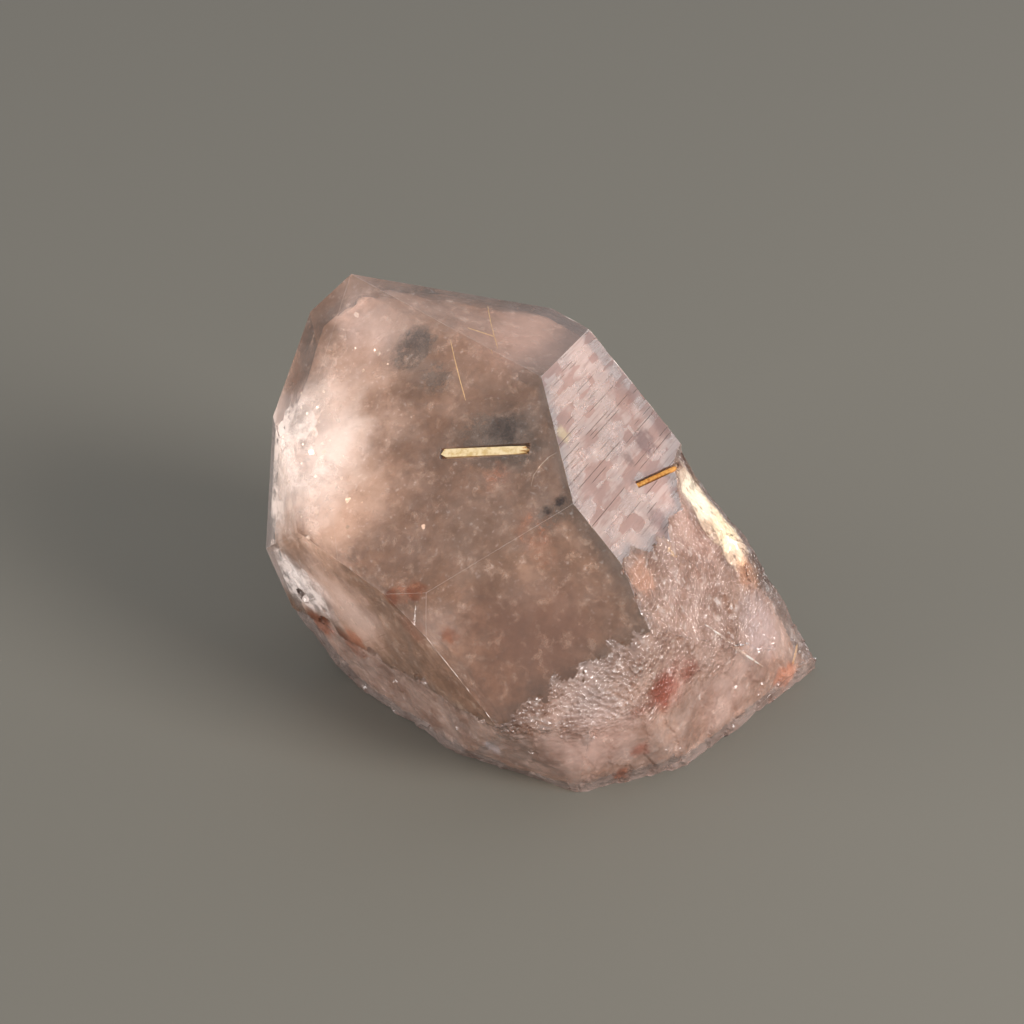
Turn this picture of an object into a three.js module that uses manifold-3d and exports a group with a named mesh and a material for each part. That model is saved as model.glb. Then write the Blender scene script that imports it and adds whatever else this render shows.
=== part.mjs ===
// Rutilated quartz: a thick, broken quartz point that leans back on its fractured base.
// Two rutile crystals, a blade and a rod, lie in shallow open grooves of its faces.
// Lengths are millimetres, angles are degrees and +Z is up.

import * as THREE from 'three';
import { mergeVertices } from 'three/addons/utils/BufferGeometryUtils.js';
import Module from 'manifold-3d';

const wasm = await Module();
wasm.setup();

// How the crystal leans: its long axis points up, back and to the left.
const AXIS_HEADING = 150.35;
const AXIS_RISE = 45.1;
const AXIS_TWIST = 159.0;

// The six prism faces, which run along the axis. Azimuth turns around the axis, slope is
// the angle between the axis and the face's normal, distance is from the crystal's centre.
const PRISM_FRONT_RIGHT = { azimuth: -59.9, slope: 89.2, distance: 15.0 };
const PRISM_FRONT = { azimuth: -122.2, slope: 89.5, distance: 19.0 };
const PRISM_FRONT_LEFT = { azimuth: -180.2, slope: 89.6, distance: 18.45 };
const PRISM_BACK_LEFT = { azimuth: -240.0, slope: 90.0, distance: 19.5 };
const PRISM_BACK = { azimuth: -300.0, slope: 90.0, distance: 12.0 };
const PRISM_BACK_RIGHT = { azimuth: 0.0, slope: 88.9, distance: 12.75 };

// Growth ledges on the prism faces: how deep they are, how much they curve, and how far
// apart the points lie that shape them across the face.
const LEDGED_FACES = [
  { face: PRISM_FRONT_RIGHT, ledgeDepth: 0.3, ledgeCurve: 0, pointSpacing: 4.4 },
  { face: PRISM_FRONT, ledgeDepth: 0.12, ledgeCurve: 0, pointSpacing: 11 },
  { face: PRISM_FRONT_LEFT, ledgeDepth: 0.2, ledgeCurve: 0.006, pointSpacing: 4.4 },
  { face: PRISM_BACK_LEFT, ledgeDepth: 0.22, ledgeCurve: 0, pointSpacing: 11 },
  { face: PRISM_BACK, ledgeDepth: 0.26, ledgeCurve: 0, pointSpacing: 11 },
  { face: PRISM_BACK_RIGHT, ledgeDepth: 0.24, ledgeCurve: 0, pointSpacing: 11 },
];
const LEDGE_ZONE = [-26, 24];
const LEDGE_HALF_WIDTH = 22;
const LEDGE_SPACING = 1.2;
const LEDGE_SPREAD = 1.5;
const LEDGE_RISE_LENGTH = 0.16;
const LEDGE_LEAST_DEPTH = 0.02;
const LEDGE_WANDER = 0.22;

// The sloping faces of the point, each above one prism face.
const POINT_FACES = [
  { azimuth: -59.7, slope: 51.3, distance: 17.35 },
  { azimuth: -117.7, slope: 52.9, distance: 15.4 },
  { azimuth: -180.0, slope: 52.1, distance: 21.5 },
  { azimuth: -249.1, slope: 55.6, distance: 17.15 },
  { azimuth: -303.3, slope: 52.0, distance: 16.5 },
  { azimuth: 0.0, slope: 51.8, distance: 17.55 },
];

// Flat cuts given by where their normal points, and their distance from the centre.
const UPPER_SIDE_FACET = { heading: -128.9, rise: 50.9, distance: 16.05 };
const LOWER_SIDE_FACET = { heading: -146.0, rise: 47.8, distance: 18.6 };
const CORNER_FACET = { heading: -112.0, rise: 24.0, distance: 20.1 };
const TABLE_LEVEL = -15.2;

// Fracture surfaces. Each one starts at a corner, runs along a line, and drops from it.
// Its relief is a first step, a torn upper rim, swells, grain, and rings around a centre.
const BASE_BREAK = {
  heading: -21.8,
  rise: 30.5,
  start: [10.2, -18.6, 6.2],
  along: [0.469, 0.858, -0.214],
  length: 27,
  drop: 24,
  relief: { step: 0.6, tear: 0.5, swell: 0.4, grain: 0.2, rings: 0.35, ringCentre: [20, 4], ringSpacing: 3.4 },
  seed: 40,
};
const FRONT_BREAK = {
  heading: -86.7,
  rise: 17.4,
  start: [2.7, -23.0, -3.3],
  along: [0.852, 0.201, 0.483],
  length: 20,
  drop: 12,
  relief: { step: 0.5, tear: 0.5, swell: 0.3, grain: 0.25, rings: 0.3, ringCentre: [12, 3], ringSpacing: 2.9 },
  seed: 50,
};
const RIGHT_BREAK = {
  heading: -43.0,
  rise: 4.0,
  start: [13.0, -19.4, 2.0],
  along: [0.59, 0.575, -0.567],
  length: 30,
  drop: 20,
  relief: { step: 0.45, tear: 0.4, swell: 0.4, grain: 0.25, rings: 0.3, ringCentre: [4, -4], ringSpacing: 3.1 },
  seed: 100,
};
const UNDERCUT_FRONT = {
  heading: -86.7,
  rise: -12.0,
  start: [-0.2, -24.2, -5.6],
  along: [0.998, 0.058, 0.0],
  length: 19,
  drop: 12,
  relief: { step: 0.5, tear: 0.45, swell: 0.35, grain: 0.22, rings: 0.25, ringCentre: [6, -14], ringSpacing: 2.6 },
  seed: 60,
};
const UNDERCUT_RIGHT = {
  heading: -70.0,
  rise: -13.0,
  start: [8.6, -23.0, -6.4],
  along: [0.94, 0.342, 0.0],
  length: 13,
  drop: 12,
  relief: { step: 0.5, tear: 0.4, swell: 0.3, grain: 0.22, rings: 0.25, ringCentre: [2, 2], ringSpacing: 2.5 },
  seed: 120,
};
const UNDERCUT_CORNER = {
  heading: -116.0,
  rise: -28.4,
  start: [-6.7, -20.6, -7.0],
  along: [0.899, -0.438, 0.0],
  length: 14,
  drop: 12,
  relief: { step: 0.4, tear: 0.4, swell: 0.3, grain: 0.2, rings: 0.2, ringCentre: [4, -12], ringSpacing: 2.6 },
  seed: 110,
};
const UNDERCUT_LEFT = {
  heading: -135.3,
  rise: -13.8,
  start: [-19.7, -4.2, -8.1],
  along: [0.692, -0.72, 0.064],
  length: 26,
  drop: 10,
  relief: { step: 0.45, tear: 0.5, swell: 0.25, grain: 0.18, rings: 0.2, ringCentre: [14, -12], ringSpacing: 2.4 },
  seed: 70,
};
const BREAK_STEP = 1.25;
const BREAK_MARGIN = 6;
const BREAK_LEAST_DEPTH = 0.2;
const BREAK_WANDER = 0.3;
const TEAR_SIZE = 1.9;
const SWELL_SIZE = 4.5;
const GRAIN_SIZE = 1.3;

// Shallow hollows in the base, which leave flat islands that the crystal stands on.
const HOLLOW_MIDDLE = [4, -7, TABLE_LEVEL];
const HOLLOW_HALF_SIZE = [28, 22];
const HOLLOW_STEP = 2.3;
const HOLLOW_SIZE = 5;
const HOLLOW_DEPTH = 1.3;
const HOLLOW_START = 6;
const HOLLOW_FADE = 4;
const HOLLOW_RAISE = 0.15;

// The shell-shaped chip beside the right edge: where it starts, its length along the edge
// and its greatest width and depth.
const EDGE_CHIP_START = [15.15, 0.55, 6.8];
const EDGE_CHIP_LENGTH = 12.5;
const EDGE_CHIP_WIDTH = 3.3;
const EDGE_CHIP_DEPTH = 0.75;
const EDGE_CHIP_RIPPLE = 0.12;

// Small chips and the pit: centre and radius.
const SMALL_CHIPS = [
  { centre: [-17.6, 8.6, 18.0], radius: 1.1 },
  { centre: [-15.8, 9.4, 19.4], radius: 0.8 },
  { centre: [-19.3, -6.4, -5.2], radius: 1.0 },
  { centre: [-16.9, -7.6, -7.6], radius: 1.3 },
  { centre: [-12.6, -12.3, -7.4], radius: 1.1 },
  { centre: [-8.4, -17.2, -6.6], radius: 1.2 },
  { centre: [-3.2, -22.4, -6.4], radius: 1.0 },
  { centre: [3.4, -24.4, -5.6], radius: 0.9 },
  { centre: [-6.6, -21.6, -1.0], radius: 0.7 },
];

// Rutile blade and rod: both ends on the face they lie in, and the section.
const BLADE = {
  from: [-6.2, -8.0, 11.9],
  to: [1.4, -10.2, 13.7],
  width: 0.75,
  thickness: 0.5,
  cover: 0.05,
};
const ROD = {
  from: [10.9, -8.0, 8.5],
  to: [15.1, -1.5, 6.2],
  width: 0.52,
  thickness: 0.52,
  cover: 0.35,
};
const GROOVE_GAP = 0.35;

const SHORTEST_EDGE = 0.03;
const ROUGH_BLOCK = 90;
const BLOCK_SIZE = 200;
const CARVE_REACH = 25;

const vector = (list) => new THREE.Vector3(...list);
const radians = (degrees) => THREE.MathUtils.degToRad(degrees);

function headingRise(heading, rise) {
  const flat = Math.cos(radians(rise));
  return new THREE.Vector3(
    flat * Math.cos(radians(heading)),
    flat * Math.sin(radians(heading)),
    Math.sin(radians(rise)),
  );
}

// The crystal's own directions: its long axis, and the direction of azimuth zero.
const longAxis = headingRise(AXIS_HEADING, AXIS_RISE);
const level = headingRise(AXIS_HEADING + 90, 0);
const steep = new THREE.Vector3().crossVectors(longAxis, level);
const zeroAzimuth = level.clone().multiplyScalar(Math.cos(radians(AXIS_TWIST)));
zeroAzimuth.addScaledVector(steep, Math.sin(radians(AXIS_TWIST)));
const quarterAzimuth = new THREE.Vector3().crossVectors(longAxis, zeroAzimuth);

function crystalNormal(face) {
  const outward = Math.sin(radians(face.slope));
  return new THREE.Vector3()
    .addScaledVector(zeroAzimuth, outward * Math.cos(radians(face.azimuth)))
    .addScaledVector(quarterAzimuth, outward * Math.sin(radians(face.azimuth)))
    .addScaledVector(longAxis, Math.cos(radians(face.slope)));
}

// Repeatable scatter between 0 and 1 for a pair of whole numbers.
function scatter(i, j, seed) {
  const mixed = Math.sin(i * 127.1 + j * 311.7 + seed * 74.7) * 43758.5453;
  return mixed - Math.floor(mixed);
}

// Smooth bumps between -1 and 1 that repeat on a grid one unit wide.
function bumps(x, y, seed) {
  const i = Math.floor(x);
  const j = Math.floor(y);
  const fx = x - i;
  const fy = y - j;
  const sx = fx * fx * (3 - 2 * fx);
  const sy = fy * fy * (3 - 2 * fy);
  const low = scatter(i, j, seed) * (1 - sx) + scatter(i + 1, j, seed) * sx;
  const high = scatter(i, j + 1, seed) * (1 - sx) + scatter(i + 1, j + 1, seed) * sx;
  return 2 * (low * (1 - sy) + high * sy) - 1;
}

function sawtooth(x) {
  return x - Math.floor(x);
}

function evenSteps(from, to, step) {
  const count = Math.ceil((to - from) / step);
  return Array.from({ length: count + 1 }, (_, k) => from + ((to - from) * k) / count);
}

function solidFrom(geometry) {
  const bare = geometry.clone();
  bare.deleteAttribute('normal');
  bare.deleteAttribute('uv');
  const merged = mergeVertices(bare, 1e-5);
  return new wasm.Manifold(new wasm.Mesh({
    numProp: 3,
    vertProperties: new Float32Array(merged.attributes.position.array),
    triVerts: new Uint32Array(merged.index.array),
  }));
}

// A placement whose local X and Y lie in a surface and whose local Z points out of it.
function placement(origin, across, out) {
  const z = out.clone().normalize();
  const x = across.clone().addScaledVector(z, -across.dot(z)).normalize();
  const y = new THREE.Vector3().crossVectors(z, x);
  return new THREE.Matrix4().makeBasis(x, y, z).setPosition(origin);
}

// Keeps the side of a flat plane that holds the crystal's centre.
function cutFlat(body, normal, distance) {
  const block = new THREE.BoxGeometry(BLOCK_SIZE, BLOCK_SIZE, BLOCK_SIZE);
  block.translate(0, 0, BLOCK_SIZE / 2);
  const anyAcross = Math.abs(normal.z) < 0.9 ? new THREE.Vector3(0, 0, 1) : new THREE.Vector3(1, 0, 0);
  block.applyMatrix4(placement(normal.clone().multiplyScalar(distance), anyAcross, normal));
  return body.subtract(solidFrom(block));
}

// Takes away what lies outside a shaped surface. The surface is a grid of columns and rows in
// the placement's XY plane, and place gives each grid point's position and its depth.
function carve(body, matrix, columns, rows, place) {
  const positions = [];
  for (const lift of [0, CARVE_REACH]) {
    for (const row of rows) {
      for (const column of columns) {
        const point = place(column, row);
        const height = lift > 0 ? lift : -point.depth;
        positions.push(point.x, point.y, height);
      }
    }
  }
  const wide = columns.length;
  const layer = wide * rows.length;
  const triangles = [];
  const quad = (a, b, c, d) => triangles.push(a, b, c, a, c, d);
  for (let j = 0; j < rows.length - 1; j += 1) {
    for (let i = 0; i < wide - 1; i += 1) {
      const a = j * wide + i;
      quad(a, a + wide, a + wide + 1, a + 1);
      quad(layer + a, layer + a + 1, layer + a + wide + 1, layer + a + wide);
    }
  }
  for (let i = 0; i < wide - 1; i += 1) {
    const far = layer - wide + i;
    quad(i, i + 1, layer + i + 1, layer + i);
    quad(far + 1, far, layer + far, layer + far + 1);
  }
  for (let j = 0; j < rows.length - 1; j += 1) {
    const near = j * wide;
    const far = near + wide - 1;
    quad(near + wide, near, layer + near, layer + near + wide);
    quad(far, far + wide, layer + far + wide, layer + far);
  }
  const geometry = new THREE.BufferGeometry();
  geometry.setAttribute('position', new THREE.Float32BufferAttribute(positions, 3));
  geometry.setIndex(triangles);
  geometry.applyMatrix4(matrix);
  return body.subtract(solidFrom(geometry));
}

// Ledges that cross a prism face at right angles to the long axis. Each has a short steep
// rise, then sinks slowly; its strength varies along its length.
function addLedges(body, ledged, seed) {
  const normal = crystalNormal(ledged.face);
  const matrix = placement(normal.clone().multiplyScalar(ledged.face.distance), longAxis, normal);
  const alongAxis = [];
  const fresh = [];
  let position = LEDGE_ZONE[0];
  let count = 0;
  while (position < LEDGE_ZONE[1]) {
    alongAxis.push(position, position + LEDGE_RISE_LENGTH);
    fresh.push(false, true);
    position += LEDGE_SPACING + LEDGE_SPREAD * scatter(count, 3, seed);
    count += 1;
  }
  const across = evenSteps(-LEDGE_HALF_WIDTH, LEDGE_HALF_WIDTH, ledged.pointSpacing);
  const index = new Map(alongAxis.map((value, k) => [value, k]));
  return carve(body, matrix, alongAxis, across, (x, y) => {
    const k = index.get(x);
    const ledge = Math.floor(k / 2);
    const change = (0.35 + 0.65 * scatter(ledge, 7, seed)) * (0.6 + 0.4 * bumps(y / 7, ledge, seed));
    const wander = LEDGE_WANDER * bumps(y / 5, ledge * 0.7, seed + 5) + ledged.ledgeCurve * y * y;
    return { x: x + wander, y, depth: fresh[k] ? LEDGE_LEAST_DEPTH : ledged.ledgeDepth * change };
  });
}

// A rough break: broad swells, rings around the point where it started, and a torn first row.
function addBreak(body, surface) {
  const { relief, seed } = surface;
  const normal = headingRise(surface.heading, surface.rise);
  const matrix = placement(vector(surface.start), vector(surface.along), normal);
  const columns = evenSteps(-BREAK_MARGIN, surface.length, BREAK_STEP);
  const rows = evenSteps(-surface.drop, 0, BREAK_STEP);
  return carve(body, matrix, columns, rows, (x, row) => {
    const y = row + (row === 0 ? relief.tear * bumps(x / TEAR_SIZE, 0, seed + 1) : 0);
    const ring = Math.hypot(x - relief.ringCentre[0], y - relief.ringCentre[1]) / relief.ringSpacing;
    const swell = relief.swell * bumps(x / SWELL_SIZE, y / SWELL_SIZE, seed);
    const grain = relief.grain * bumps(x / GRAIN_SIZE, y / GRAIN_SIZE, seed + 2);
    const depth = relief.step + swell + grain + relief.rings * (sawtooth(ring) - 0.5);
    const wander = BREAK_WANDER * bumps(x / GRAIN_SIZE, y / GRAIN_SIZE, seed + 3);
    return { x: x + wander, y, depth: Math.max(depth, BREAK_LEAST_DEPTH) };
  });
}

// A small irregular lump taken out of the surface.
function addChip(body, chip, seed) {
  const lump = new THREE.IcosahedronGeometry(chip.radius, 1);
  const merged = mergeVertices(lump.deleteAttribute('normal').deleteAttribute('uv'), 1e-5);
  const points = merged.attributes.position;
  for (let k = 0; k < points.count; k += 1) {
    const stretch = 0.75 + 0.45 * scatter(k, seed, 11);
    points.setXYZ(k, points.getX(k) * stretch, points.getY(k) * stretch, points.getZ(k) * stretch);
  }
  merged.translate(...chip.centre);
  return body.subtract(solidFrom(merged));
}

// Blade and rod share one description: a long piece between two points of a face.
function lyingPiece(piece, face) {
  const from = vector(piece.from);
  const to = vector(piece.to);
  const normal = crystalNormal(face);
  const middle = from.clone().add(to).multiplyScalar(0.5);
  middle.addScaledVector(normal, face.distance - middle.dot(normal));
  return {
    length: from.distanceTo(to),
    matrix: placement(middle, to.clone().sub(from), normal),
  };
}

function addGroove(body, piece, face) {
  const lying = lyingPiece(piece, face);
  const floor = piece.cover + piece.thickness + GROOVE_GAP;
  const cutter = new THREE.BoxGeometry(lying.length + 2 * GROOVE_GAP, piece.width + 2 * GROOVE_GAP, 2 * floor);
  cutter.applyMatrix4(lying.matrix);
  return body.subtract(solidFrom(cutter));
}

// Quartz: prism and point faces first, then growth ledges, breaks, chips and grooves.
const POINT_FRONT = POINT_FACES[1];
let quartz = solidFrom(new THREE.BoxGeometry(ROUGH_BLOCK, ROUGH_BLOCK, ROUGH_BLOCK));
for (const { face } of LEDGED_FACES) {
  quartz = cutFlat(quartz, crystalNormal(face), face.distance);
}
for (const face of POINT_FACES) {
  quartz = cutFlat(quartz, crystalNormal(face), face.distance);
}
for (const facet of [UPPER_SIDE_FACET, LOWER_SIDE_FACET, CORNER_FACET]) {
  quartz = cutFlat(quartz, headingRise(facet.heading, facet.rise), facet.distance);
}
const flatBreaks = [BASE_BREAK, FRONT_BREAK, RIGHT_BREAK, UNDERCUT_FRONT, UNDERCUT_RIGHT, UNDERCUT_CORNER];
for (const surface of flatBreaks) {
  const normal = headingRise(surface.heading, surface.rise);
  quartz = cutFlat(quartz, normal, vector(surface.start).dot(normal));
}
const down = new THREE.Vector3(0, 0, -1);
quartz = cutFlat(quartz, down, -TABLE_LEVEL);
LEDGED_FACES.forEach((ledged, k) => {
  quartz = addLedges(quartz, ledged, 20 + k);
});

const baseMatrix = placement(vector(HOLLOW_MIDDLE), new THREE.Vector3(1, 0, 0), down);
const hollowColumns = evenSteps(-HOLLOW_HALF_SIZE[0], HOLLOW_HALF_SIZE[0], HOLLOW_STEP);
const hollowRows = evenSteps(-HOLLOW_HALF_SIZE[1], HOLLOW_HALF_SIZE[1], HOLLOW_STEP);
quartz = carve(quartz, baseMatrix, hollowColumns, hollowRows, (x, y) => {
  const outside = Math.min(1, Math.max(0, (Math.hypot(x, y) - HOLLOW_START) / HOLLOW_FADE));
  return { x, y, depth: HOLLOW_DEPTH * bumps(x / HOLLOW_SIZE, y / HOLLOW_SIZE, 90) * outside - HOLLOW_RAISE };
});
const roughBreaks = [...flatBreaks, UNDERCUT_LEFT];
for (const surface of roughBreaks) {
  quartz = addBreak(quartz, surface);
}

// The edge chip is widest near its middle and deepest at its inner rim.
const rightNormal = crystalNormal(PRISM_FRONT_RIGHT);
const edgeAcross = new THREE.Vector3().crossVectors(rightNormal, longAxis).normalize();
const chipMatrix = placement(vector(EDGE_CHIP_START), edgeAcross, rightNormal);
quartz = carve(quartz, chipMatrix, evenSteps(-0.2, 1, 0.15), evenSteps(0, 1, 0.08), (across, along) => {
  const width = EDGE_CHIP_WIDTH * Math.min(1, 1.9 * along + 0.12) + 0.25 * bumps(along * 8, 1, 80);
  const ring = EDGE_CHIP_RIPPLE * Math.sin(across * 9 + along * 4);
  const depth = EDGE_CHIP_DEPTH * Math.max(across, 0) + 0.08 + ring * Math.max(across, 0);
  return { x: across * width, y: along * EDGE_CHIP_LENGTH, depth: across < 0 ? 0.02 : depth };
});
SMALL_CHIPS.forEach((chip, k) => {
  quartz = addChip(quartz, chip, k);
});

quartz = addGroove(quartz, BLADE, POINT_FRONT);
quartz = addGroove(quartz, ROD, PRISM_FRONT_RIGHT);

// Rutile blade: a flat lath with one pointed end and one frayed end.
function bladeGeometry() {
  const lying = lyingPiece(BLADE, POINT_FRONT);
  const half = lying.length / 2;
  const side = BLADE.width / 2;
  const outline = new THREE.Shape([
    new THREE.Vector2(-half, -0.3 * side),
    new THREE.Vector2(-half + 0.5, -side),
    new THREE.Vector2(half - 1.1, -side),
    new THREE.Vector2(half - 0.2, -0.65 * side),
    new THREE.Vector2(half - 0.9, -0.2 * side),
    new THREE.Vector2(half, 0.15 * side),
    new THREE.Vector2(half - 0.7, 0.45 * side),
    new THREE.Vector2(half - 0.35, 0.9 * side),
    new THREE.Vector2(half - 1.6, side),
    new THREE.Vector2(-half + 0.3, side),
  ]);
  const geometry = new THREE.ExtrudeGeometry(outline, { depth: BLADE.thickness, bevelEnabled: false });
  geometry.translate(0, 0, -BLADE.cover - BLADE.thickness);
  return geometry.applyMatrix4(lying.matrix);
}

// Rutile rod: a slender prism with short pointed ends.
function rodGeometry() {
  const lying = lyingPiece(ROD, PRISM_FRONT_RIGHT);
  const half = lying.length / 2;
  const radius = ROD.width / 2;
  const profile = [
    new THREE.Vector2(0, -half),
    new THREE.Vector2(0.6 * radius, -half + 0.15),
    new THREE.Vector2(radius, -half + 0.5),
    new THREE.Vector2(radius, half - 0.5),
    new THREE.Vector2(0.6 * radius, half - 0.15),
    new THREE.Vector2(0, half),
  ];
  const geometry = new THREE.LatheGeometry(profile, 8);
  geometry.rotateZ(-Math.PI / 2);
  geometry.translate(0, 0, -ROD.cover - radius);
  return geometry.applyMatrix4(lying.matrix);
}

// Joins the two ends of every very short edge that cutting left behind, wherever the surface
// stays closed: the two ends may have only the two corners beside the edge in common.
function closeShortEdges(positions, corners) {
  const triangles = [];
  for (let k = 0; k < corners.length; k += 3) {
    triangles.push([corners[k], corners[k + 1], corners[k + 2]]);
  }
  const around = Array.from({ length: positions.length / 3 }, () => new Set());
  triangles.forEach((triangle) => triangle.forEach((corner) => around[corner].add(triangle)));
  const spot = (corner) => new THREE.Vector3().fromArray(positions, corner * 3);
  const neighbours = (corner) => new Set([...around[corner]].flat().filter((other) => other !== corner));
  for (const triangle of triangles) {
    for (let side = 0; side < 3; side += 1) {
      const kept = triangle[side];
      const gone = triangle[(side + 1) % 3];
      const short = kept !== gone && spot(kept).distanceTo(spot(gone)) < SHORTEST_EDGE;
      const shared = short ? [...neighbours(kept)].filter((other) => neighbours(gone).has(other)) : [];
      if (around[kept].has(triangle) && shared.length === 2) {
        for (const touched of [...around[gone]]) {
          if (touched.includes(kept)) {
            touched.forEach((corner) => around[corner].delete(touched));
          } else {
            touched[touched.indexOf(gone)] = kept;
            around[kept].add(touched);
          }
        }
        around[gone].clear();
      }
    }
  }
  return triangles.filter((triangle) => around[triangle[0]].has(triangle)).flat();
}

function meshFrom(solid, name, colour, roughness, metalness) {
  const result = solid.getMesh();
  const geometry = new THREE.BufferGeometry();
  geometry.setAttribute('position', new THREE.Float32BufferAttribute(result.vertProperties, 3));
  geometry.setIndex(closeShortEdges(result.vertProperties, result.triVerts));
  const flat = geometry.toNonIndexed();
  flat.computeVertexNormals();
  const material = new THREE.MeshStandardMaterial({ color: colour, roughness, metalness });
  material.name = name;
  const mesh = new THREE.Mesh(flat, material);
  mesh.name = name;
  return mesh;
}

const group = new THREE.Group();
group.name = 'rutilated_quartz';
group.add(meshFrom(quartz, 'quartz_crystal', 0xb7a397, 0.18, 0.0));
group.add(meshFrom(solidFrom(bladeGeometry()), 'rutile_blade', 0xc79a3e, 0.35, 0.6));
group.add(meshFrom(solidFrom(rodGeometry()), 'rutile_rod', 0xb4641f, 0.35, 0.5));

// The row frame has its origin under the middle of the part, on the surface it stands on.
const box = new THREE.Box3().setFromObject(group);
const shift = new THREE.Vector3(-(box.min.x + box.max.x) / 2, -(box.min.y + box.max.y) / 2, -box.min.z);
for (const mesh of group.children) {
  mesh.geometry.translate(shift.x, shift.y, shift.z);
}

export default group;
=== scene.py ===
import bisect
import math
import random

import bmesh
import bpy
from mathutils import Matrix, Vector, noise


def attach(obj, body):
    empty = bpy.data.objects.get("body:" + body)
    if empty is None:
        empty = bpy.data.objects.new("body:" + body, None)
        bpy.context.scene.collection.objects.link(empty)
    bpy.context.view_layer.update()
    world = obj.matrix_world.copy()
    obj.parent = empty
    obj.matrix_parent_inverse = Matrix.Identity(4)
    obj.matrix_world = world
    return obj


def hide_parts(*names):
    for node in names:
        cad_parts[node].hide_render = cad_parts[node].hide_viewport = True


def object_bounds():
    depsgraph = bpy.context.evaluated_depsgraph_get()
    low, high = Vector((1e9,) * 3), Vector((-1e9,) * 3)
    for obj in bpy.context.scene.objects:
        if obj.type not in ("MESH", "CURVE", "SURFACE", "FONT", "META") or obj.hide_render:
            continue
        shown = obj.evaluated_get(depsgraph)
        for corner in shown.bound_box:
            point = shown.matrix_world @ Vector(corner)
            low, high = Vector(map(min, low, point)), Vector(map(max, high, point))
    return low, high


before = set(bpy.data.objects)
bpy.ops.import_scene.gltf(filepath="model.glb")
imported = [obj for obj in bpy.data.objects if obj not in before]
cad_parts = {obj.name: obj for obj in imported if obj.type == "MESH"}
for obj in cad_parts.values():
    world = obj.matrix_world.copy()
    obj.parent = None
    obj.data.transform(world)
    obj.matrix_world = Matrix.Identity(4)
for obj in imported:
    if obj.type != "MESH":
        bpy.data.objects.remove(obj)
cad_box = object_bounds()

# Table, light and camera.
# The crystal stands on a plain matt table. A window at the front right gives most of the
# light, a weaker one stands behind it, and a soft light on the left and a pale room fill in.
MM = 0.001
crystal_centre = Vector((-3.114, 3.467, 15.2)) * MM
camera_rise = math.radians(35.0)
camera_distance = 221.47 * MM
TABLE_SIDE = 2.5
TABLE_FRONT = -1.5
TABLE_BACK = 3.5

table_mesh = bpy.data.meshes.new("table_top")
table_mesh.from_pydata(
    [
        (-TABLE_SIDE, TABLE_FRONT, 0.0),
        (TABLE_SIDE, TABLE_FRONT, 0.0),
        (TABLE_SIDE, TABLE_BACK, 0.0),
        (-TABLE_SIDE, TABLE_BACK, 0.0),
    ],
    [],
    [(0, 1, 2, 3)],
)
table = bpy.data.objects.new("table_top", table_mesh)
bpy.context.collection.objects.link(table)
table_material = bpy.data.materials.new("matt_table")
table_material.use_nodes = True
table_shader = table_material.node_tree.nodes["Principled BSDF"]
table_shader.inputs["Base Color"].default_value = (0.158, 0.149, 0.124, 1.0)
table_shader.inputs["Roughness"].default_value = 0.7
table_mesh.materials.append(table_material)


def window_light(name, place, width, height, power, colour):
    lamp = bpy.data.lights.new(name, "AREA")
    lamp.shape = "RECTANGLE"
    lamp.size = width
    lamp.size_y = height
    lamp.energy = power
    lamp.color = colour
    lamp_object = bpy.data.objects.new(name, lamp)
    lamp_object.location = place
    lamp_object.rotation_euler = (crystal_centre - Vector(place)).to_track_quat("-Z", "Y").to_euler()
    bpy.context.collection.objects.link(lamp_object)


window_light("front_window", (0.42, -0.25, 0.25), 0.22, 0.28, 3.8, (1.0, 0.95, 0.915))
window_light("side_window", (0.50, 0.34, 0.24), 0.35, 0.30, 0.5, (0.94, 0.95, 1.0))
window_light("left_fill", (-0.62, -0.20, 0.13), 0.46, 0.24, 3.3, (1.0, 0.965, 0.94))

room = bpy.data.worlds.new("pale_room")
room.use_nodes = True
room_light = room.node_tree.nodes["Background"]
room_light.inputs["Color"].default_value = (0.88, 0.89, 0.92, 1.0)
room_light.inputs["Strength"].default_value = 0.62
bpy.context.scene.world = room
bpy.context.scene.view_settings.view_transform = "Standard"

camera_data = bpy.data.cameras.new("photo_camera")
camera_data.lens = 85.0
camera_data.sensor_width = 36.0
camera_data.clip_start = 0.01
camera = bpy.data.objects.new("photo_camera", camera_data)
camera.location = crystal_centre + camera_distance * Vector(
    (0.0, -math.cos(camera_rise), math.sin(camera_rise))
)
camera.rotation_euler = (math.pi / 2 - camera_rise, 0.0, 0.0)
bpy.context.collection.objects.link(camera)
bpy.context.scene.camera = camera

# Quartz crystal.
# One stout quartz point, pinkish brown and partly cloudy. Its sloping faces are glassy, its
# prism faces are striped by growth ledges, and its base is a frosty, glittering break.
QUARTZ_IOR = 1.544
ABSORPTION_COLOUR = (0.78, 0.56, 0.48, 1.0)
ABSORPTION_DENSITY = 42.0
LAMP_TINT = (0.86, 0.80, 0.76, 1.0)


# a direction by its heading and its rise above the table, in degrees
def pointing(heading, rise):
    flat = math.cos(math.radians(rise))
    return Vector((
        flat * math.cos(math.radians(heading)),
        flat * math.sin(math.radians(heading)),
        math.sin(math.radians(rise)),
    ))


long_axis = pointing(150.35, 45.1)
level_axis = pointing(240.35, 0.0)
steep_axis = long_axis.cross(level_axis)
axis_twist = math.radians(159.0)
first_side = level_axis * math.cos(axis_twist) + steep_axis * math.sin(axis_twist)
second_side = long_axis.cross(first_side)


# a flat face by its outward normal and its distance from the crystal's centre in mm
def wall(normal, distance):
    return normal, normal.dot(crystal_centre) + distance * MM


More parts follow.
